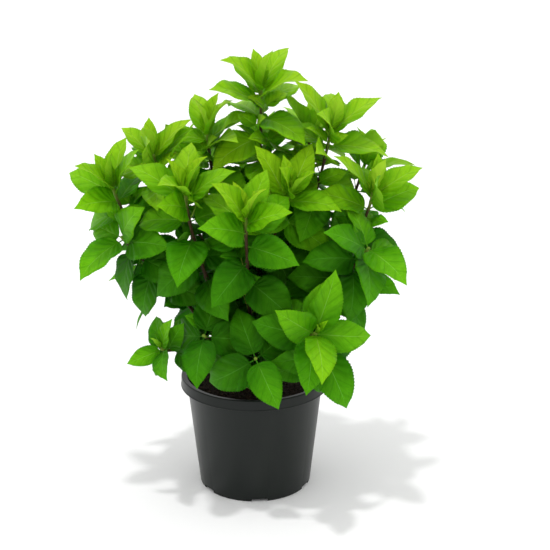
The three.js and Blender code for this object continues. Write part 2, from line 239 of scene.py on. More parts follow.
cut.object = cutter
bpy.context.view_layer.update()
seen = whole_pot.evaluated_get(bpy.context.evaluated_depsgraph_get())
cut_mesh = bpy.data.meshes.new_from_object(seen)
cut_mesh.name = "nursery_pot"
cut_mesh.set_sharp_from_angle(angle=math.radians(POT_SMOOTH_ANGLE))
bpy.data.objects.remove(whole_pot)
bpy.data.objects.remove(cutter)

plastic = Finish("black_pot_plastic", Specular_IOR_Level=0.22)
smears = plastic.grain(9.0, 4.0, at=plastic.stretch((1, 1, 0.25)))
speckle = plastic.grain(900.0, 2.0)
dust = plastic.between(smears, 0.5, 0.85)
black = plastic.blend(speckle, shade(17, 22, 20), shade(23, 28, 25))
plastic.set("Base Color", plastic.blend(dust * 0.3, black, shade(48, 50, 45)))
plastic.set("Roughness", 0.29 + 0.12 * smears + 0.06 * speckle)
plastic.relief(plastic.grain(1500.0, 2.0), 0.00004, 0.5)
add_piece("nursery_pot", cut_mesh, [plastic.material], ["pot"])

# The potting mix
# Moist peat and composted bark, filled to 21 mm below the rim and a little higher round the plant.
# Its top is rough, and loose crumbs and bark chips lie on it.

MIX_FOOT = 7.1
MIX_FOOT_RADIUS = 84.0
MIX_EDGE = 155.0
MIX_EDGE_BAND = 3.0  # its upright edge
MIX_DOME = 3.0
MIX_TOP = MIX_EDGE + MIX_DOME
MIX_FLAT = 40.0
MIX_RADIUS = 101.2
MIX_RINGS = 46
MIX_TURNS = 120
MIX_ROUGH = 1.9  # how far the top rises and falls, in mm
MIX_SUNK = 0.4
MIX_WAVES = ((0.06, 0, 0.9), (0.22, 9, 0.7))  # how fine, where in the noise, and how strong
CRUMBS = 2600
CRUMB_SIZES = (0.9, 3.4)
CRUMB_SMALLNESS = 2.5  # the higher, the fewer large ones
CRUMB_CLEAR = 2.5  # mm from the pot's wall
CRUMB_SHAPE = (1.1, 0.9, 0.75)
CRUMB_DENTS = 0.22
CRUMB_TILT = 0.6  # radians
CRUMB_TURN = 3.1
CRUMB_RISE = 0.12  # of its size
CHIP_SHAPE = (1.9, 0.9, 0.35)
CHIPS_SHARE = 0.16


def part_way(ends, share):
    """What lies this share of the way from the first of two values to the second."""
    first, last = ends
    return first + (last - first) * share


def number_row(seed):
    """A repeatable row of numbers from -1 to 1, the same as in the part's own source."""
    span = 4294967296
    state = (seed * 7919 + 104729) % span
    while True:
        state = (state * 1664525 + 1013904223) % span
        yield 2 * state / span - 1


def mix_height(radius):
    """The height of the mix's top in mm before it is roughened."""
    across = min(1.0, max(0.0, (MIX_RADIUS - radius) / (MIX_RADIUS - MIX_FLAT)))
    return MIX_EDGE + MIX_DOME * math.sin(across * math.pi / 2)


def roughness_at(x, y):
    """How far the mix's top stands off its dome there, in mm."""
    waves = sum(strong * noise.noise(Vector((x, y, where)) * fine) for fine, where, strong in MIX_WAVES)
    return MIX_ROUGH * waves - MIX_SUNK


mix_profile = [(0.0, MIX_FOOT), (MIX_FOOT_RADIUS, MIX_FOOT), (MIX_RADIUS, MIX_EDGE - MIX_EDGE_BAND)]
for ring in range(MIX_RINGS):
    radius = MIX_RADIUS * (1 - ring / MIX_RINGS)
    mix_profile.append((radius, mix_height(radius)))
mix_profile.append((0.0, mix_height(0)))
mix_form = turned(mix_profile, MIX_TURNS)
for corner in mix_form.verts:
    if corner.co.z > (MIX_EDGE - 1) * MM:
        corner.co.z += roughness_at(corner.co.x / MM, corner.co.y / MM) * MM

peat = Finish("moist_potting_mix", Roughness=0.95, Specular_IOR_Level=0.2)
lumps = peat.grain(260.0, 6.0, 0.7)
peat.set("Base Color", peat.blend(peat.between(lumps, 0.3, 0.75), shade(20, 14, 9), shade(58, 42, 28)))
peat.relief(lumps, 0.002)
mix_mesh = mesh_of(mix_form, "potting_mix_top")
add_piece("potting_mix_top", mix_mesh, [peat.material], ["potting_mix"])

chip = Finish("bark_chips", Roughness=0.85, Specular_IOR_Level=0.3)
streaks = chip.grain(500.0, 3.0)
chip.set("Base Color", chip.blend(streaks, shade(48, 30, 18), shade(98, 70, 46)))


def arrays_of(form):
    """The corners of a bmesh as an array and its faces as lists of corners. Frees the bmesh."""
    form.verts.index_update()
    corners = np.array([corner.co for corner in form.verts])
    faces = [[corner.index for corner in face.verts] for face in form.faces]
    form.free()
    return corners, faces


def joined(name, corners, faces, smooth=True):
    """One mesh from many small ones: their corners in mm and their faces, a list of each."""
    starts = np.cumsum([0] + [len(part) for part in corners[:-1]]).tolist()
    shifted = [[corner + start for corner in face] for part, start in zip(faces, starts) for face in part]
    mesh = bpy.data.meshes.new(name)
    mesh.from_pydata((np.vstack(corners) * MM).tolist(), [], shifted)
    mesh.polygons.foreach_set("use_smooth", [smooth] * len(shifted))
    return mesh


lump_form = bmesh.new()
bmesh.ops.create_icosphere(lump_form, subdivisions=1, radius=1.0)
lump_corners, lump_faces = arrays_of(lump_form)
crumb_draw = number_row(901)
crumb_corners = []
crumb_slots = []
for _ in range(CRUMBS):
    around = math.pi * next(crumb_draw)
    radius = (MIX_RADIUS - CRUMB_CLEAR) * math.sqrt(abs(next(crumb_draw)))
    size = part_way(CRUMB_SIZES, abs(next(crumb_draw)) ** CRUMB_SMALLNESS)
    is_chip = abs(next(crumb_draw)) < CHIPS_SHARE
    x = radius * math.cos(around)
    y = radius * math.sin(around)
    tilt = Matrix.Rotation(CRUMB_TILT * next(crumb_draw), 3, "X")
    turn = Matrix.Rotation(CRUMB_TURN * next(crumb_draw), 3, "Z")
    dents = 1 + CRUMB_DENTS * np.array([next(crumb_draw) for _ in lump_corners])
    shape = lump_corners * dents[:, None] * np.array(CHIP_SHAPE if is_chip else CRUMB_SHAPE) * size * 0.5
    spot = np.array([x, y, mix_height(radius) + roughness_at(x, y) + CRUMB_RISE * size])
    crumb_corners.append(shape @ np.array(tilt @ turn) + spot)
    crumb_slots += [int(is_chip)] * len(lump_faces)
crumb_mesh = joined("potting_mix_crumbs", crumb_corners, [lump_faces] * CRUMBS, smooth=False)
crumb_mesh.polygons.foreach_set("material_index", crumb_slots)
add_piece("potting_mix_crumbs", crumb_mesh, [peat.material, chip.material], [])

# The stock
# The low knuckle of old wood that all the boughs stand on, just above the mix. Its bark is grey
# brown, thick and flaking. It was made by the plant being cut back hard when it was small.

STOCK_RADII = (27.0, 23.0)  # at its foot and at its shoulder
STOCK_HEIGHT = 20.0
STOCK_SUNK = 3.0
STOCK_SHOULDER_SHARE = 0.6  # of its height
STOCK_TOP_SHARE = 0.98
STOCK_STEPS = 24
STOCK_SIDE_SHARE = 0.55  # of its steps, up to the shoulder
STOCK_TURNS = 96
STOCK_KNOBS = ((0.09, 1.0, 2.6), (0.35, 0.4, 1.3))  # how fine, how drawn out upward, and mm deep
STOCK_KNOBS_UP = 0.4  # how far they push up rather than out

stock_profile = [(0.0, MIX_TOP - STOCK_SUNK)]
for step in range(STOCK_STEPS + 1):
    share = step / STOCK_STEPS
    if share < STOCK_SIDE_SHARE:
        up = share / STOCK_SIDE_SHARE
        radius = part_way(STOCK_RADII, up)
        height = (STOCK_HEIGHT * STOCK_SHOULDER_SHARE + STOCK_SUNK) * up - STOCK_SUNK
    else:
        over = (share - STOCK_SIDE_SHARE) / (1 - STOCK_SIDE_SHARE) * math.pi / 2
        radius = STOCK_RADII[1] * math.cos(over)
        rise = (STOCK_TOP_SHARE - STOCK_SHOULDER_SHARE) * math.sin(over)
        height = STOCK_HEIGHT * (STOCK_SHOULDER_SHARE + rise)
    stock_profile.append((radius, MIX_TOP + height))
stock_form = turned(stock_profile, STOCK_TURNS)
for corner in stock_form.verts:
    x, y, z = corner.co / MM
    outward = Vector((x, y, STOCK_KNOBS_UP * (z - MIX_TOP))).normalized()
    knobs = sum(deep * noise.noise(Vector((x, y, z * drawn)) * fine) for fine, drawn, deep in STOCK_KNOBS)
    corner.co += outward * knobs * MM

old_bark = Finish("old_flaking_bark", Roughness=0.9, Specular_IOR_Level=0.25)
flakes = old_bark.grain(170.0, 5.0, 0.65, at=old_bark.stretch((1, 1, 0.35)))
old_bark.set("Base Color", old_bark.blend(flakes, shade(52, 38, 28), shade(134, 110, 84)))
old_bark.relief(flakes, 0.0015)
add_piece("old_wood_stock", mesh_of(stock_form, "old_wood_stock"), [old_bark.material], ["stock"])

# The boughs and shoots
# Eleven boughs of last year's wood stand on the stock, each as thick as a pencil, with thin
# red-brown bark. Each runs on into this year's shoots, which fork, swell at every leaf pair, and
# turn from red-brown to green at their tips.


def grows(bud, lean, turn, fork=0, age=0, size=1, tone=None):
    """What sets one shoot apart from the others."""
    if tone is None:
        tone = 2 * max(0, age - 2)
    return {"bud": bud, "lean": lean, "turn": turn, "fork": fork, "age": age, "size": size, "tone": tone}


def branch(name, foot, bare_top, shoots):
    """A bough, bare up to this height, and the shoots of its mass. foot is a radius and a turn."""
    return {"name": name, "foot": foot, "bare_top": bare_top, "shoots": shoots}


# In mm and degrees: where a shoot's tip stands, its tilt there, and which way its top pair faces.
# fork says how far up the mass's first shoot it leaves it, age how many pairs older its top is and
# size how large its leaves are, all as in the part's own source. tone, which makes the colours of
# its leaves older or younger, belongs to this script alone.
MASSES = [
    branch("centre", (5, 75), 262, [
        grows((11, 18, 608), 1, 50, size=1.08, tone=-1.2),
        grows((52, -50, 468), 16, 30, fork=0.22),
    ]),
    branch("right_top", (5, -45), 256, [
        grows((112, 0, 552), 10, 88, tone=-0.8),
        grows((85, 78, 533), 14, 60, fork=0.35),
    ]),
    branch("right", (15.5, -8), 236, [
        grows((171, -38, 466), 11, 82),
        grows((164, -80, 397), 34, 66, fork=0.2, age=3),
    ]),
    branch("front_right", (15.5, -52), 206, [
        grows((88, -148, 293), 70, 54, age=2, tone=0),
        grows((99, -118, 257), 58, 20, fork=0.15, age=4),
    ]),
    branch("front", (15.5, -93), 226, [
        grows((-9, -122, 452), 6, 40),
        grows((4, -140, 253), 54, 60, fork=0.1, age=4),
    ]),
    branch("front_left", (15.5, -133), 228, [
        grows((-93, -92, 480), 4, 4),
        grows((-70, -120, 280), 50, 122, fork=0.1, age=4),
    ]),
    branch("left", (15.5, 178), 232, [
        grows((-202, -30, 474), 16, 30),
        grows((-134, -86, 247), 56, 20, fork=0.05, age=2, size=0.66, tone=1),
        grows((-191, -42, 403), 38, 60, fork=0.25, age=3),
    ]),
    branch("left_top", (5, 195), 250, [
        grows((-68, 30, 542), 4, 330),
        grows((-146, 5, 514), 8, 96, fork=0.25),
    ]),
    branch("back_right", (15.5, 40), 236, [
        grows((168, 80, 485), 18, 10),
        grows((149, 48, 322), 50, 50, fork=0.08),
    ]),
    branch("back", (15.5, 86), 244, [
        grows((20, 122, 508), 16, 60),
        grows((59, 146, 332), 46, 0, fork=0.1),
    ]),
    branch("back_left", (15.5, 131), 240, [
        grows((-102, 104, 487), 16, 20),
        grows((-148, 72, 315), 50, 70, fork=0.08),
    ]),
]
CLEAR = 0.3  # between a bough's tip and its mass
BOUGH_FOOT_HEIGHT = MIX_TOP + 0.55 * STOCK_HEIGHT
BOUGH_RADII = (3.9, 3.0)
BOUGH_STEPS = 3
LEAD_RADII = (3.0, 2.0)
LEAD_STEPS = 4
SIDE_RADII = (2.4, 2.0)
SIDE_STEPS = 3
STRAIGHT_SHARE = 0.33
BEND_SHARE = 0.3
LEAD_BARE = 0.08
SIDE_BARE = 0.15
MOST_PAIRS = 13
PAIR_SPACING = [3, 3, 7, 12, 19, 27, 32]  # mm from the bud to the first pair, and on down
UP = np.array([0.0, 0.0, 1.0])
FRONT = np.array([0.0, -1.0, 0.0])


def unit(vector):
    return vector / np.linalg.norm(vector)


def frame_round(ahead):
    """This direction and the two across it."""
    side = unit(np.cross(ahead, FRONT))
    return ahead, side, np.cross(side, ahead)


class Curve:
    """The line of one shoot: a cubic curve from its foot to its bud."""

    PARTS = 200

    def __init__(self, shoot, foot):
        bud = np.array(shoot["bud"], float)
        reach = np.linalg.norm(bud - foot)
        tilt = math.radians(shoot["lean"])
        level = unit(np.array([bud[0], bud[1], 0.0]))
        at_bud = level * math.sin(tilt) + UP * math.cos(tilt)
        early = foot + unit(bud - foot) * STRAIGHT_SHARE * reach
        late = bud - at_bud * BEND_SHARE * reach
        self.knots = (foot, early, late, bud)
        steps = np.diff([self.point(k / self.PARTS) for k in range(self.PARTS + 1)], axis=0)
        self.lengths = np.concatenate([[0], np.cumsum(np.linalg.norm(steps, axis=1))])
        self.length = self.lengths[-1]

    def point(self, share):
        rest = 1 - share
        foot, early, late, bud = self.knots
        outer = foot * rest**3 + bud * share**3
        return outer + 3 * early * share * rest**2 + 3 * late * share**2 * rest

    def along(self, share):
        ahead = self.point(min(1, share + 1e-4))
        return unit(ahead - self.point(max(0, share - 1e-4)))

    def frame(self, share):
        return frame_round(self.along(share))

    def share_at_length(self, length):
        return float(np.interp(length, self.lengths, np.linspace(0, 1, self.PARTS + 1)))

    def share_at_height(self, height):
        low, high = 0.0, 1.0
        for _ in range(30):
            middle = (low + high) / 2
            below = self.point(middle)[2] < height
            low, high = (middle, high) if below else (low, middle)
        return low


@dataclass(eq=False)
class Limb:
    """A stretch of a curve that a bough or stem fills."""

    curve: Curve
    start: float
    end: float
    steps: int
    radii: tuple

    def knot(self, k):
        return self.curve.point(self.start + (self.end - self.start) * k / self.steps)

    def straight_point(self, share):
        """The limb's middle on the straight steps that the plain solids have."""
        along = min(0.9999, (share - self.start) / (self.end - self.start)) * self.steps
        step = math.floor(along)
        return self.knot(step) + (self.knot(step + 1) - self.knot(step)) * (along - step)


def pair_shares(curve, lowest):
    """Where the leaf pairs stand, from the bud down."""
    shares = []
    down = 0.0
    for pair in range(MOST_PAIRS):
        down += PAIR_SPACING[min(pair, len(PAIR_SPACING) - 1)]
        share = curve.share_at_length(curve.length - down) if down < curve.length else 0
        if share <= lowest:
            break
        shares.append(share)
    return shares


class Shoot:
    """One shoot: its limb for the room test, its own line as drawn, and its leaves."""

    def __init__(self, mass, facts, limb, drawn, lowest, seed):
        self.mass = mass
        self.facts = facts
        self.limb = limb
        self.drawn = drawn
        self.shares = pair_shares(limb.curve, lowest)
        self.draw = number_row(seed)
        self.fine_draw = number_row(seed + 500)
        self.leaves = []
        self.twigs = []

    def turn_at(self, pair, hand):
        """Which way round the shoot a leaf of this pair points, in degrees."""
        return self.facts["turn"] + 90 * pair + 180 * hand


shoots = []
for number, mass in enumerate(MASSES):
    out, turn = mass["foot"]
    turn = math.radians(turn)
    foot = np.array([out * math.cos(turn), out * math.sin(turn), BOUGH_FOOT_HEIGHT])
    curve = Curve(mass["shoots"][0], foot)
    bare = curve.share_at_height(mass["bare_top"])
    start = bare + CLEAR / curve.length
    mass["bough"] = Limb(curve, 0.0, bare, BOUGH_STEPS, BOUGH_RADII)
    lead = Limb(curve, start, 1.0, LEAD_STEPS, LEAD_RADII)
    for index, facts in enumerate(mass["shoots"]):
        if index == 0:
            limb, drawn, lowest = lead, lead, start + LEAD_BARE
        else:
            fork = part_way((start, 1), facts["fork"])
            feet = (lead.straight_point(fork), curve.point(fork))
            limb, drawn = (Limb(Curve(facts, foot), 0.0, 1.0, SIDE_STEPS, SIDE_RADII) for foot in feet)
            lowest = SIDE_BARE
        shoots.append(Shoot(mass, facts, limb, drawn, lowest, number * 10 + index))

BOUGH_SIDES = 14
BOUGH_NODES = (0.3, 0.62, 0.97)  # where last year's leaves stood, as shares of the bough
SHOOT_SIDES = 10
RING_EVERY = 3.0  # mm along a limb
NODE_SWELLING = 0.28
NODE_REACH = 3.5
RIDGE_DEPTH = 0.22
RIDGES_ROUND = 1.6
RIDGES_ALONG = 9
RIDGE_SHIFT = 3.7  # so that no two boughs have the same ridges


@cache
def unit_tube(sides, rings):
    """Corners as (turn, share along) and faces of a closed tube, from a circle drawn out."""
    form = bmesh.new()
    bmesh.ops.create_circle(form, cap_ends=True, segments=sides, radius=1.0)
    edges = form.edges[:]
    for _ in range(rings):
        drawn = bmesh.ops.extrude_edge_only(form, edges=edges)["geom"]
        corners = [item for item in drawn if isinstance(item, bmesh.types.BMVert)]
        edges = [item for item in drawn if isinstance(item, bmesh.types.BMEdge)]
        bmesh.ops.translate(form, vec=(0, 0, 1), verts=corners)
    bmesh.ops.contextual_create(form, geom=edges)
    bmesh.ops.recalc_face_normals(form, faces=form.faces)
    places, faces = arrays_of(form)
    return np.arctan2(places[:, 1], places[:, 0]), places[:, 2] / rings, faces


def tube(line, radius_at, sides, rings):
    """A tube along line(share), which gives a point and two directions across, in mm."""
    turns, shares, faces = unit_tube(sides, rings)
    corners = np.empty((len(turns), 3))
    for share in np.unique(shares):
        here = shares == share
        middle, side, front = line(share)
        radii = radius_at(share, turns[here])
        corners[here] = middle + (np.cos(turns[here]) * radii)[:, None] * side
        corners[here] += (np.sin(turns[here]) * radii)[:, None] * front
    return corners, shares, faces


def limb_tube(limb, nodes, sides, seed, early=0.0):
    """A limb's own mesh: tapered, ridged, and swollen at its nodes."""
    curve = limb.curve
    span = (limb.end - limb.start) * curve.length
    ends = (limb.start - early / curve.length, limb.end)
    rings = max(4, int(span / RING_EVERY))

    def line(share):
        at = part_way(ends, share)
        _, side, front = curve.frame(at)
        return curve.point(at), side, front

    def radius_at(share, turns):
        at = part_way(ends, share)
        radius = part_way(limb.radii, share)
        swelling = sum(math.exp(-(((at - node) * curve.length / NODE_REACH) ** 2)) for node in nodes)
        depth = at * RIDGES_ALONG + seed
        round_it = [(math.cos(t) * RIDGES_ROUND, math.sin(t) * RIDGES_ROUND, depth) for t in turns]
        ridges = np.array([noise.noise(Vector(spot)) for spot in round_it])
        return radius * (1 + NODE_SWELLING * min(1, swelling)) + RIDGE_DEPTH * ridges

    corners, shares, faces = tube(line, radius_at, sides, rings)
    return corners, part_way(ends, shares), faces


def joined_limbs(name, parts):
    """One mesh from limb tubes, with each corner's age, from 0 in old wood to 1 at a bud."""
    corners, ages, faces = zip(*parts)
    mesh = joined(name, corners, faces)
    layer = mesh.attributes.new("age", "FLOAT", "POINT")
    layer.data.foreach_set("value", np.concatenate(ages).astype(np.float32))
    return mesh


bark = Finish("young_red_brown_bark", Specular_IOR_Level=0.2)
age = bark.node("ShaderNodeAttribute", {"attribute_name": "age"}, {}, "Fac")
fibres = bark.grain(420.0, 4.0, 0.6, at=bark.stretch((1, 1, 0.12)))
pores = bark.between(bark.grain(700.0, 1.0, at=bark.stretch((1, 1, 0.5))), 0.66, 0.74)
woody = bark.blend(fibres, shade(38, 25, 16), shade(84, 60, 38))
reddish = bark.blend(fibres, shade(38, 24, 10), shade(70, 50, 20))
greenish = bark.blend(fibres, shade(92, 120, 34), shade(126, 158, 46))
colour = bark.blend(bark.between(age, 0.35, 0.62), woody, reddish)
colour = bark.blend(bark.between(age + 0.06 * fibres, 0.92, 1.03), colour, greenish)
bark.set("Base Color", bark.blend(pores * 0.4, colour, shade(120, 98, 64)))
bark.set("Roughness", 0.72 - 0.2 * age)
bark.relief(fibres + pores * 0.6, 0.0004)

for number, mass in enumerate(MASSES):
    name = mass["name"]
    bough = mass["bough"]
    nodes = [bough.end * share for share in BOUGH_NODES]
    bark_mesh = joined_limbs("bough_bark", [limb_tube(bough, nodes, BOUGH_SIDES, number * RIDGE_SHIFT)])
    add_piece("bough_bark_" + name, bark_mesh, [bark.material], ["bough_" + name])

# The leaves
# Each leaf is a thin oval blade drawn out to a point, finely toothed, folded a little along its
# midrib and quilted between six pairs of side veins, on a short green stalk. Leaves stand in
# crossed pairs, small and yellow-green at the tips and broad and deep green lower down, deepened
# further low in the crown by painted shade. Each has painted shade at its base and painted light
# towards its tip.

LEAF_LENGTH = 84.0
PETIOLE_SHARE = 0.12
PETIOLE_RADIUS = 0.9
ROOT_RADIUS = 0.7
ROOT_FROM = 0.9
THICKNESS = 1.1
STATIONS = [(0.0, 0.0), (PETIOLE_SHARE, 0.0), (0.32, 0.93), (0.66, 0.8), (1.0, 0.0)]
VARY_SPREAD = 10
VARY_RECURVE = 10
VARY_ROLL = 12
CROWN_MIDDLE = np.array([0.0, 70.0, 300.0])
CROWN_NEARNESS = np.array([1.0, 5.0, 1.0])
TRIES = [  # more spread, more around, and size
    (0, 0, 1), (-11, 0, 1), (11, 0, 1), (0, 15, 1), (0, -15, 1),
    (-18, 12, 0.92), (18, -12, 0.92), (-8, -24, 0.86), (10, 24, 0.86),
]
LEAF_ROOM = 0.8
BLADE_FROM = 0.18
ROOM_STEP = 0.01
POT_SPACE_RADIUS = 114.5
POT_SPACE_TOP = 178.0


@dataclass
class LeafKind:
    """The form of leaves of one age, in mm and degrees, and how far single leaves vary from it."""

    age: int
    length: float
    width: float  # as a share of the length
    spread: float  # away from the shoot
    recurve: float
    sky: float  # how far its face turns to the open side
    fold: float  # how far each half is raised
    vary_around: float = 13
    vary_length: float = 0.08
    grid: str = "full"


PAIR_LEAVES = [  # from the bud down
    LeafKind(0, 0.7 * LEAF_LENGTH, 0.42, 16, 12, 0.45, 28),
    LeafKind(1, 1.02 * LEAF_LENGTH, 0.46, 33, 20, 0.85, 18),
    LeafKind(2, 1.06 * LEAF_LENGTH, 0.5, 50, 26, 1, 14),
    LeafKind(3, 1.04 * LEAF_LENGTH, 0.55, 66, 32, 1, 12),
    LeafKind(4, 1.02 * LEAF_LENGTH, 0.6, 80, 38, 1, 10),
    LeafKind(5, LEAF_LENGTH, 0.64, 94, 46, 1, 9),
    LeafKind(6, 0.98 * LEAF_LENGTH, 0.66, 108, 52, 1.1, 8),
]


class Leaf:
    """One leaf as it grows on a shoot, before it is moved for want of room."""

    def __init__(self, kind, frame, middles, around, tone, draw, size=1):
        self.kind = kind
        self.along, self.side, self.front = frame
        self.middle, self.drawn_middle = middles
        self.around = around + kind.vary_around * next(draw)
        self.spread = kind.spread + VARY_SPREAD * next(draw)
        self.length = kind.length * size * (1 + kind.vary_length * next(draw))
        self.recurve = math.radians(kind.recurve + VARY_RECURVE * next(draw))
        self.roll = math.radians(VARY_ROLL * next(draw))
        self.tone = tone

    def aim(self, change):
        """Settles the leaf's directions and size with one of the ways to move it."""
        more_spread, more_around, size = change
        spread = math.radians(self.spread + more_spread)
        around = math.radians(self.around + more_around)
        outward = self.side * math.cos(around) + self.front * math.sin(around)
        heading = outward * math.sin(spread) + self.along * math.cos(spread)
        open_side = (self.middle + heading * self.length / 2 - CROWN_MIDDLE) * CROWN_NEARNESS
        open_side = unit(open_side - heading * open_side.dot(heading))
        facing = self.along * math.sin(spread) - outward * math.cos(spread)
        facing = facing + open_side * self.kind.sky
        facing = unit(facing - heading * facing.dot(heading))
        turned_side = np.cross(heading, facing)
        facing = facing * math.cos(self.roll) + turned_side * math.sin(self.roll)
        self.heading = heading
        self.facing = facing
        self.across = np.cross(facing, heading)
        self.size = self.length * size

    def arc(self, at, middle):
        """Points on the bent midrib at these shares, and the directions that face up from them."""
        bend = self.recurve * np.maximum(0, at - PETIOLE_SHARE)
        forward = (self.size * at * np.cos(bend / 2))[:, None] * self.heading
        down = (self.size * at * np.sin(bend / 2))[:, None] * self.facing
        above = np.cos(bend)[:, None] * self.facing + np.sin(bend)[:, None] * self.heading
        return middle + forward - down, above

    def rough_form(self, sides, grown, start):
        """The plain solid of the leaf, or with four sides and a gap the room that it needs."""
        spans = len(STATIONS) - 1
        rings = []
        for station, (place, half) in enumerate(STATIONS):
            at = max(place, ROOT_FROM / self.length, start + ROOM_STEP * station)
            points, aboves = self.arc(np.array([at]), self.middle)
            point, above = points[0], aboves[0]
            if station == spans:
                rings.append([point + np.cross(self.across, above) * grown] * sides)
                continue
            ring = []
            for corner in range(sides):
                right = math.sin(math.tau * corner / sides)
                down = math.cos(math.tau * corner / sides)
                if half > 0 and abs(right) > 0.1:
                    reach = half * self.size * self.kind.width / 2 + grown
                    ring.append(point + self.across * math.copysign(reach, right))
                elif half > 0:
                    ring.append(point + above * (-THICKNESS - grown if down > 0 else grown))
                else:
                    radius = (ROOT_RADIUS if station == 0 else PETIOLE_RADIUS) + grown
                    ring.append(point + self.across * right * radius - above * down * radius)
            rings.append(ring)
        return np.array(rings).reshape(-1, 3)


def ring_faces(sides, spans):
    """Triangles of a closed rod of rings, with a fan at each end."""
    faces = []
    for span in range(spans):
        for corner in range(sides):
            after = (corner + 1) % sides
            low, high = span * sides, (span + 1) * sides
            faces.append((high + corner, low + corner, high + after))
            faces.append((low + corner, low + after, high + after))
    for corner in range(1, sides - 1):
        faces.append((0, corner, corner + 1))
        faces.append((spans * sides, spans * sides + corner, spans * sides + corner + 1))
    return faces


class Thing:
    """Something that a leaf must keep off, with the shoot it belongs to."""

    def __init__(self, corners, faces, shoot):
        self.low = corners.min(axis=0)
        self.high = corners.max(axis=0)
        self.tree = BVHTree.FromPolygons(corners.tolist(), faces, all_triangles=True)
        self.shoot = shoot

    def box_meets(self, other):
        return bool(np.all(self.low <= other.high) and np.all(other.low <= self.high))


def rough_limb(limb, sides, turn):
    """The plain solid of a limb on its straight steps."""
    rings = []
    for k in range(limb.steps + 1):
        share = k / limb.steps
        at = part_way((limb.start, limb.end), share)
        _, side, front = limb.curve.frame(at)
        radius = part_way(limb.radii, share)
        for corner in range(sides):
            angle = math.tau * corner / sides + math.radians(turn)
            aside = limb.curve.point(at) + side * math.sin(angle) * radius
            rings.append(aside + front * math.cos(angle) * radius)
    return np.array(rings), ring_faces(sides, limb.steps)


stems = {shoot: Thing(*rough_limb(shoot.limb, 4, shoot.facts["turn"] + 45), shoot) for shoot in shoots}
in_the_way = list(stems.values())
in_the_way += [Thing(*rough_limb(mass["bough"], 6, 0), None) for mass in MASSES]
LEAF_FACES = ring_faces(3, len(STATIONS) - 1)
ROOM_FACES = ring_faces(4, len(STATIONS) - 1)


def has_room(leaf, shoot):
    """True if the leaf is clear of the pot, the boughs, the other shoots and their leaves."""
    corners = leaf.rough_form(4, LEAF_ROOM, 0)
    in_pot = np.hypot(corners[:, 0], corners[:, 1]) < POT_SPACE_RADIUS
    if np.any(in_pot & (corners[:, 2] < POT_SPACE_TOP)):
        return False
    whole = Thing(corners, ROOM_FACES, shoot)
    blade = None
    for thing in in_the_way:
        if thing is stems[shoot] or not whole.box_meets(thing):
            continue
        if thing.shoot is shoot:
            if blade is None:
                blade = Thing(leaf.rough_form(4, LEAF_ROOM, BLADE_FROM), ROOM_FACES, shoot)
            if blade.tree.overlap(thing.tree):
                return False
        elif whole.tree.overlap(thing.tree):
            return False
    return True


def settle(leaf, shoot):
    """Puts the leaf in the first way that has room. Returns False if none has."""
    for change in TRIES:
        leaf.aim(change)
        if has_room(leaf, shoot):
            in_the_way.append(Thing(leaf.rough_form(3, 0, 0), LEAF_FACES, shoot))
            shoot.leaves.append(leaf)
            return True
    return False


def pair_leaf(shoot, pair, hand):
    """A leaf of one of the shoot's pairs, the same as in the part's own source."""
    facts = shoot.facts
    share = shoot.shares[pair]
    kind = PAIR_LEAVES[min(pair + facts["age"], len(PAIR_LEAVES) - 1)]
    middles = (shoot.limb.straight_point(share), shoot.drawn.curve.point(share))
    around = shoot.turn_at(pair, hand)
    frame_here = shoot.limb.curve.frame(share)
    return Leaf(kind, frame_here, middles, around, pair + facts["tone"], shoot.draw, facts["size"])


pair_count = max(len(shoot.shares) for shoot in shoots)
for pair in range(pair_count):
    for shoot in shoots:
        if pair < len(shoot.shares):
            for hand in range(2):
                settle(pair_leaf(shoot, pair, hand), shoot)

# Finer growth: two leaves not yet open on every bud, and short side twigs in the axils of leaves,
# each with a pair of small leaves, wherever they have room
BUD_LEAF = LeafKind(0, 29, 0.34, 9, 3, 0.2, 34, 8, 0.28, "small")
TWIG_LEAF = LeafKind(3, 36, 0.6, 50, 26, 0.9, 14, 8, 0.28, "small")
BUD_MOST_AGE = 2  # an older shoot has no bud leaves
BUD_RISE = 0.9
BUD_TONE = -1
TWIG_FIRST_PAIR = 4
TWIG_CHANCES = (0.3, 0.6)  # high on a shoot and low on it
TWIG_LOW_PAIR = 6
TWIG_LENGTHS = (9.0, 26.0)
TWIG_LONG_PAIR = 5  # from here down a twig may have its full length
TWIG_SPREAD = 38.0
VARY_TWIG_SPREAD = 10
VARY_TWIG_AROUND = 14
TWIG_ABOVE = 1.5  # mm above its leaf
TWIG_RISE = 0.35
TWIG_RADII = (0.95, 0.7)
TWIG_SIDES = 6
TWIG_RINGS = 5
TWIG_AGES = (0.9, 1.1)  # at its foot and its tip
TWIG_TONE = -1.5


class Twig:
    """A short side twig from a leaf's axil, bent up towards the light."""

    def __init__(self, shoot, pair, hand):
        draw = shoot.fine_draw
        share = shoot.shares[pair]
        along, side, front = shoot.drawn.curve.frame(share)
        around = math.radians(shoot.turn_at(pair, hand) + VARY_TWIG_AROUND * next(draw))
        outward = side * math.cos(around) + front * math.sin(around)
        spread = math.radians(TWIG_SPREAD + VARY_TWIG_SPREAD * next(draw))
        self.foot = shoot.drawn.curve.point(share) + along * TWIG_ABOVE
        self.way = outward * math.sin(spread) + along * math.cos(spread)
        self.length = part_way(TWIG_LENGTHS, abs(next(draw)) * min(1, pair / TWIG_LONG_PAIR))

    def line(self, share):
        """A point on the twig and two directions across it."""
        _, side, front = frame_round(unit(self.way + UP * TWIG_RISE * 2 * share))
        point = self.foot + (self.way * share + UP * TWIG_RISE * share**2) * self.length
        return point, side, front

    def mesh_parts(self):
        def radius_at(share, turns):
            return np.full(len(turns), part_way(TWIG_RADII, share))

        corners, shares, faces = tube(self.line, radius_at, TWIG_SIDES, TWIG_RINGS)
        return corners, part_way(TWIG_AGES, shares), faces


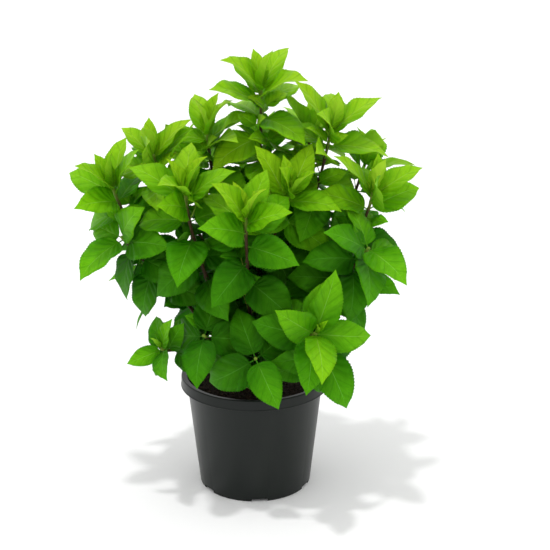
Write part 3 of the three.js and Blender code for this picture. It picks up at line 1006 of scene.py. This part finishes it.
def grow_pair(shoot, kind, frame, middle, turn, tone):
    """Adds two small leaves where they have room, and says how many had."""
    grown = 0
    for hand in range(2):
        leaf = Leaf(kind, frame, (middle, middle), turn + 180 * hand, tone, shoot.fine_draw)
        grown += settle(leaf, shoot)
    return grown


for shoot in shoots:
    if shoot.facts["age"] <= BUD_MOST_AGE:
        line = shoot.drawn.curve
        frame_at_bud = frame_round(unit(line.along(1.0) + UP * BUD_RISE))
        grow_pair(shoot, BUD_LEAF, frame_at_bud, line.point(1.0), shoot.turn_at(1, 0), BUD_TONE)
for pair in range(TWIG_FIRST_PAIR, pair_count):
    for shoot in shoots:
        for hand in range(2):
            chance = part_way(TWIG_CHANCES, min(1, pair / TWIG_LOW_PAIR))
            if pair >= len(shoot.shares) or abs(next(shoot.fine_draw)) > chance:
                continue
            twig = Twig(shoot, pair, hand)
            tip, side, front = twig.line(1.0)
            frame_at_tip = (np.cross(front, side), side, front)
            if grow_pair(shoot, TWIG_LEAF, frame_at_tip, tip, shoot.turn_at(pair + 1, 0), pair + TWIG_TONE):
                shoot.twigs.append(twig)

# A leaf's own shape is drawn once as a flat grid and given a second skin. Each corner then has its
# place along the margin, its place across from the midrib, and its side.
GRID_SIZES = {"full": (42, 10), "small": (22, 6)}  # cells along a leaf and across it
SIDE_VEINS = 6
MIDRIB_HALF = 0.02
ROW_CROWDING = 1.1  # towards the midrib
SWEEP = 0.33  # how far a side vein runs forward from the midrib to the margin
SWEEP_CURVE = 0.8
LOBE = 0.045  # how far the base of an old leaf runs back past its stalk
LOBE_END = 0.3
TOOTH = 0.06
WIDEST = (0.4, 0.33)  # where a young leaf and an old one are broadest
FULLNESS = 0.86  # the lower, the fuller the oval
POINT_FROM = 0.84  # where along the margin the drawn-out point begins
POINT_CURVE = 0.7
POINT_NARROWED = 0.42
QUILT = 1.5  # depth of the furrows at the side veins, in mm
RIB_SUNK = 0.5
VARY_FOLD = 0.3
UNEVEN_WAVES = 1.6  # along the margin, up at one side where they are down at the other
UNEVEN_WAVE = 0.0224
VARY_UNEVEN = 0.5
EVEN_WAVES = 2.7
EVEN_WAVE = 0.018
VARY_TWIST = 0.3
CURL_FROM = 0.6  # from here on the tip curls down
TIP_CURL = 0.4
VARY_CURL = 0.5
STALK_BARE = (0.4, 1.0)  # how much of a young leaf's stalk and of an old one's is bare
SKIN = 0.45  # thickness of the blade, in mm
TOP, UNDER, RIM, VEIN = range(4)


def leaf_grid(columns, rows):
    """Places along and across, sides and faces of a leaf's flat form, and what each face is."""
    form = bmesh.new()
    bmesh.ops.create_grid(form, x_segments=columns, y_segments=rows, size=1.0)
    bmesh.ops.solidify(form, geom=form.faces[:], thickness=0.1)
    bmesh.ops.recalc_face_normals(form, faces=form.faces)
    kinds = []
    for face in form.faces:
        if abs(face.normal.z) < 0.5:
            kinds.append(RIM)
        elif face.normal.z < 0:
            kinds.append(UNDER)
        else:
            kinds.append(VEIN if abs(face.calc_center_median().y) * rows / 2 < 1 else TOP)
    places, faces = arrays_of(form)
    sides = np.where(places[:, 2] > places[:, 2].mean(), 1.0, -1.0)
    steps = np.abs(places[:, 1]) * rows / 2
    inner = (np.maximum(0, steps - 1) / (rows / 2 - 1)) ** ROW_CROWDING
    across = np.where(steps < 0.5, 0.0, MIDRIB_HALF + (1 - MIDRIB_HALF) * inner) * np.sign(places[:, 1])
    return (places[:, 0] + 1) / 2, across, sides, faces, np.array(kinds), columns


GRIDS = {kind: leaf_grid(*sizes) for kind, sizes in GRID_SIZES.items()}


def blade(leaf, grid, draw):
    """The corners of a leaf's blade, in mm."""
    margin, across, sides, _, _, columns = grid
    old = leaf.kind.age / (len(PAIR_LEAVES) - 1)
    off = np.abs(across)
    swept = margin - SWEEP * np.sin(math.pi * margin)
    inside = swept + (margin - swept) * off**SWEEP_CURVE
    base_lobe = LOBE * old * np.sin(math.pi * np.clip(margin / LOBE_END, 0, 1)) * off**2
    drawn_out = np.clip((margin - POINT_FROM) / (1 - POINT_FROM), 0, 1) ** POINT_CURVE
    oval = np.sin(math.pi * margin ** (math.log(0.5) / math.log(part_way(WIDEST, old))))
    wide = np.abs(oval) ** FULLNESS * (1 - POINT_NARROWED * drawn_out)
    notch = np.round(margin * columns) % 2 - 0.5
    tooth = np.where(off > 0.999, TOOTH * notch * np.clip(margin * 8, 0, 1), 0)
    half = leaf.size * leaf.kind.width / 2
    aside = across * half * wide * (1 + tooth)
    furrow = 0.5 + 0.5 * np.cos(math.tau * margin * SIDE_VEINS)
    arch = np.clip(4 * off * (1.05 - off), 0, 1) * np.clip(wide, 0, 1)
    fold = math.radians(leaf.kind.fold) * (1 + VARY_FOLD * next(draw))
    rise = np.abs(aside) * math.tan(fold) * (0.75 + 0.25 * off)
    rise -= QUILT * furrow * arch
    rise -= RIB_SUNK * (off < 0.01) * np.clip(1 - margin, 0, 1)
    phase = math.pi * next(draw)
    swell = UNEVEN_WAVE * (1 + VARY_UNEVEN * next(draw))
    uneven = swell * np.sin(math.tau * UNEVEN_WAVES * margin + phase)
    even = EVEN_WAVE * np.sin(math.tau * EVEN_WAVES * margin + 2 * phase)
    rise += (uneven * np.sign(across) + even) * leaf.size * off**2 * wide
    twist = VARY_TWIST * next(draw) * inside
    curl = TIP_CURL * leaf.size * np.clip(inside - CURL_FROM, 0, 1) ** 2 * (1 + VARY_CURL * next(draw))
    stalk_share = PETIOLE_SHARE * part_way(STALK_BARE, old)
    at = stalk_share + (1 - stalk_share) * (inside - base_lobe)
    points, above = leaf.arc(at, leaf.drawn_middle)
    x = aside * np.cos(twist) - rise * np.sin(twist)
    z = rise * np.cos(twist) + aside * np.sin(twist) - curl + sides * SKIN / 2
    return points + x[:, None] * leaf.across + z[:, None] * above


# Leaf colours from the youngest to the oldest: the upper side, the underside, and the midrib
TINTS = [
    ("tip", (132, 184, 8), (146, 196, 22), (144, 192, 42)),
    ("young", (121, 177, 6), (136, 188, 20), (138, 188, 42)),
    ("bright", (104, 166, 4), (118, 174, 18), (126, 180, 38)),
    ("middle", (82, 150, 3), (94, 154, 16), (106, 166, 34)),
    ("full", (60, 129, 2), (72, 136, 14), (84, 148, 28)),
    ("deep", (42, 105, 1), (54, 114, 12), (64, 126, 22)),
]

# Painted shade at a leaf's base and painted light, a little whitish like a sheen, towards its tip, on the
# youngest leaves and on the oldest
PAINTED_SHADE_AT_BASE = ((0.6, 0.74, 0.5), (0.46, 0.62, 0.5))
PAINTED_LIGHT_AT_TIP = ((1.24, 1.07, 3.6), (1.66, 1.38, 4.3))
# The darker colour of the fine vein streaks and of the painted shade in the side-vein furrows
FURROW_SHADE_AND_STREAK_TONE = (0.5, 0.58, 0.45)
FURROW_SHADE_DEPTH = (0.5, 0.3)  # how far painted shade darkens the side-vein furrows on the youngest leaves and on the oldest
VEIN_HALF = 0.13
STREAK_DEPTH = 0.3
STREAKS = (75.0, 7.0, 1.0)  # fine veins along and across a leaf
STREAK_SHIFT = (25.0, 25.0, 25.0)  # so that no two leaves have the same ones
TINT_START = -0.2
TINT_PER_PAIR = 0.5
TINT_LOW_AGE_AND_SHADE = 2.9  # more, for the lowest leaves: partly older growth and partly painted shade under the crown
LOW_FROM = 494.0  # mm above the ground
LOW_DEPTH = 125.0
VARY_TINT = 0.5


def scaled(colour, factors):
    return (*(part * factor for part, factor in zip(colour, factors)), 1.0)


def at_age(colours, age):
    return [part_way(ends, age) for ends in zip(*colours)]


def leaf_finish(name, upper, kind, age):
    """A leaf's skin: satin, with a faint net of veins, painted shade at its base and in its side-vein
    furrows, painted light towards its tip, and let through by a little light.
    """
    skin = Finish(name, Specular_IOR_Level=0.18, Subsurface_Weight=0.25, Subsurface_Scale=0.003)
    skin.set("Subsurface Radius", (0.5, 1.0, 0.15))
    skin.set("Specular Tint", (0.6, 1.0, 0.25, 1.0))
    clouds = skin.grain(55.0, 3.0)
    net = skin.grain(900.0, 2.0)
    spots = skin.node("ShaderNodeUVMap", {"uv_map": "leaf"}, {})
    along = skin.node("ShaderNodeSeparateXYZ", {}, {0: spots}, "X")
    both = {0: skin.stretch(STREAKS, spots), 1: skin.stretch(STREAK_SHIFT)}
    spread = skin.node("ShaderNodeVectorMath", {"operation": "ADD"}, both)
    streaks = skin.grain(1.0, 2.0, at=spread)
    # Painted shade at the leaf's base, grading to painted light towards its tip
    outer = skin.between(along + 0.45 * clouds, 0.45, 1.15)
    colour = skin.blend(outer, scaled(upper, at_age(PAINTED_SHADE_AT_BASE, age)), scaled(upper, at_age(PAINTED_LIGHT_AT_TIP, age)))
    if kind == "upper":
        # Painted shade in the side-vein furrows, where the blade's quilting dips
        phase = skin.node("ShaderNodeMath", {"operation": "PINGPONG"}, {0: along * SIDE_VEINS, 1: 0.5})
        furrow_shade = 1 - skin.between(phase, 0.0, VEIN_HALF)
        dark = scaled(upper, FURROW_SHADE_AND_STREAK_TONE)
        colour = skin.blend(skin.between(streaks, 0.4, 0.65) * STREAK_DEPTH, colour, dark)
        colour = skin.blend(furrow_shade * part_way(FURROW_SHADE_DEPTH, age), colour, dark)
    skin.set("Base Color", colour)
    skin.set("Roughness", 0.5 + 0.12 * net if kind == "upper" else 0.62 + 0.1 * net)
    skin.relief(net * 0.2 + streaks, 0.0005, 0.6)
    return skin.material


palette = []
for place, (name, *colours) in enumerate(TINTS):
    for kind, colour in zip(("upper", "under", "rib"), colours):
        skin_name = "leaf_" + name + "_" + kind
        palette.append(leaf_finish(skin_name, shade(*colour), kind, place / (len(TINTS) - 1)))


def tint_of(leaf, draw):
    """Which of the tints a leaf has: by its age, and deeper low in the crown, partly for older growth and
    partly as painted shade.
    """
    # Leaves low in the crown get a deeper tint: partly older growth, partly painted shade
    low = min(1, max(0, (LOW_FROM - leaf.drawn_middle[2]) / LOW_DEPTH))
    level = TINT_PER_PAIR * leaf.tone + TINT_START + TINT_LOW_AGE_AND_SHADE * low + VARY_TINT * next(draw)
    return int(min(len(TINTS) - 1, max(0, round(level))))


STALK_REACH = 0.5  # how far the rib under the blade runs on
STALK_SIDES = 6
STALK_RINGS = 8


def stalk(leaf):
    """The stalk, from the middle of the stem into the blade, with the rib that runs on under it."""

    def line(share):
        at = np.array([STALK_REACH * share + ROOT_FROM / leaf.size])
        points, above = leaf.arc(at, leaf.drawn_middle)
        return points[0] - above[0] * (0.2 + 0.5 * min(1, share * 2)), leaf.across, above[0]

    def radius_at(share, turns):
        tapered = PETIOLE_RADIUS * (1.25 - 1.05 * share)
        return np.full(len(turns), tapered * (leaf.size / LEAF_LENGTH) ** 0.5)

    return tube(line, radius_at, STALK_SIDES, STALK_RINGS)


def read_out(items, field):
    """One whole number from each of a mesh's parts."""
    values = np.empty(len(items), np.int32)
    items.foreach_get(field, values)
    return values


def leaves_mesh(name, leaves):
    """One mesh of all these leaves and their stalks: (leaf, tint, row of numbers) each."""
    corners = []
    faces = []
    slots = []
    spots = []
    for leaf, tint, draw in leaves:
        grid = GRIDS[leaf.kind.grid]
        margin, across, _, grid_faces, kinds, _ = grid
        stalk_corners, _, stalk_faces = stalk(leaf)
        corners += [blade(leaf, grid, draw), stalk_corners]
        faces += [grid_faces, stalk_faces]
        slots += (3 * tint + np.choose(kinds, [0, 1, 0, 2])).tolist() + [3 * tint + 2] * len(stalk_faces)
        spots += [np.stack([margin, across / 2 + 0.5], axis=1), np.zeros((len(stalk_corners), 2))]
    mesh = joined(name, corners, faces)
    mesh.polygons.foreach_set("material_index", slots)
    sharpen_rims(mesh, np.array(slots))
    spots_of_loops = np.vstack(spots)[read_out(mesh.loops, "vertex_index")]
    mesh.uv_layers.new(name="leaf").data.foreach_set("uv", spots_of_loops.astype(np.float32).ravel())
    return mesh


def sharpen_rims(mesh, slots):
    """Marks the edges between a leaf's upper side and its underside as sharp."""
    edge_of = read_out(mesh.loops, "edge_index")
    sizes = read_out(mesh.polygons, "loop_total")
    under = np.repeat(slots % 3 == 1, sizes)
    has_under = np.zeros(len(mesh.edges), bool)
    has_other = np.zeros(len(mesh.edges), bool)
    has_under[edge_of[under]] = True
    has_other[edge_of[~under]] = True
    mark = mesh.attributes.new("sharp_edge", "BOOLEAN", "EDGE")
    mark.data.foreach_set("value", has_under & has_other)


LEAD_ROOT = 1.5  # mm that a mass's first shoot is drawn down into its bough
for mass in MASSES:
    own = [shoot for shoot in shoots if shoot.mass is mass]
    name = mass["name"]
    stems_drawn = []
    leaves = []
    for shoot in own:
        early = LEAD_ROOT if shoot is own[0] else 0.0
        seed = shoot.facts["turn"] * 0.37
        stems_drawn.append(limb_tube(shoot.drawn, shoot.shares, SHOOT_SIDES, seed, early))
        stems_drawn += [twig.mesh_parts() for twig in shoot.twigs]
        leaves += [(leaf, tint_of(leaf, shoot.fine_draw), shoot.fine_draw) for leaf in shoot.leaves]
    shoots_mesh = joined_limbs("shoots", stems_drawn)
    add_piece("shoots_" + name, shoots_mesh, [bark.material], ["foliage_" + name])
    add_piece("leaves_" + name, leaves_mesh("leaves", leaves), palette, ["foliage_" + name])

# The floor, light and camera
# A plain white floor under a white sky, with one soft lamp high above and a little to the front,
# and the camera at the height and distance that the pot's rim and foot give.

FLOOR_HALF = 14.0
SKY_STRENGTH = 1.06
LAMP_ENERGY = 0.92
LAMP_ACROSS = 3.5  # degrees, for the softness of its shadows
LAMP_TILT = (9, -7)
CAMERA_PLACE = (0.031, -1.650, 0.841)
CAMERA_DOWN = 17.15
CAMERA_LENS = 75.6

floor_form = bmesh.new()
bmesh.ops.create_grid(floor_form, x_segments=1, y_segments=1, size=FLOOR_HALF)
floor = put("floor", mesh_of(floor_form, "floor", False))
floor_paint = Finish("white_floor", Roughness=0.9, Specular_IOR_Level=0.1)
floor_paint.set("Base Color", (0.93, 0.93, 0.93, 1.0))
floor.data.materials.append(floor_paint.material)

world = bpy.data.worlds.new("white_sky")
world.use_nodes = True
sky = world.node_tree.nodes["Background"].inputs
sky["Color"].default_value = (1.0, 1.0, 1.0, 1.0)
sky["Strength"].default_value = SKY_STRENGTH
bpy.context.scene.world = world

lamp_data = bpy.data.lights.new("high_lamp", "SUN")
lamp_data.energy = LAMP_ENERGY
lamp_data.angle = math.radians(LAMP_ACROSS)
lamp = put("high_lamp", lamp_data)
lamp.rotation_euler = (*(math.radians(tilt) for tilt in LAMP_TILT), 0)

camera_data = bpy.data.cameras.new("camera")
camera_data.sensor_fit = "HORIZONTAL"
camera_data.sensor_width = 36.0
camera_data.lens = CAMERA_LENS
camera_data.clip_end = 60.0
camera = put("camera", camera_data)
camera.location = CAMERA_PLACE
camera.rotation_euler = (math.radians(90 - CAMERA_DOWN), 0, 0)
bpy.context.scene.camera = camera

bpy.context.scene.view_settings.view_transform = "Standard"
